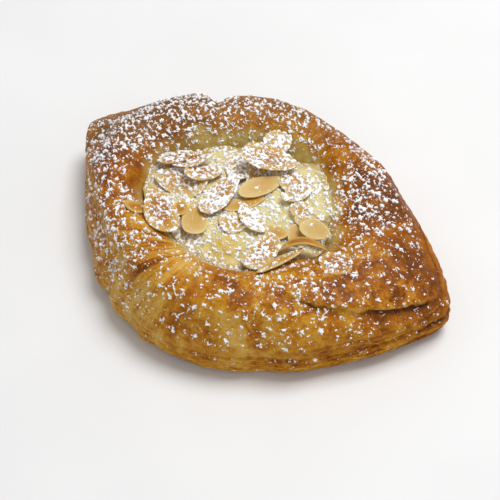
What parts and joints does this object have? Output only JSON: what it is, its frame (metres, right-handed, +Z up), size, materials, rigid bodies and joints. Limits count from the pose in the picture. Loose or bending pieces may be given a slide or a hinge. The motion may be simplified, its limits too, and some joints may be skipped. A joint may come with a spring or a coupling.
{
  "type": "almond danish pastry",
  "caption": "Eye-shaped laminated pastry with a raised rim, its hollow filled with almond paste and strewn with flaked almonds.",
  "frame": {"origin": "centre of the bounding box's bottom face, on the surface that the pastry rests on", "axes": "+X along the pastry from its left point to its right point, +Z up, +Y towards the side where the two flaps of dough meet"},
  "size_m": [0.1414, 0.1014, 0.03],
  "materials": {
    "baked_puff_pastry": "golden to dark brown baked crust with a faint sheen, dusted with icing sugar",
    "almond_filling": "pale yellow almond paste and cream to light brown flaked almonds, dusted with icing sugar"
  },
  "bodies": {
    "root": {"pastry_shell": "baked_puff_pastry", "almond_filling": "almond_filling"}
  },
  "joints": []
}
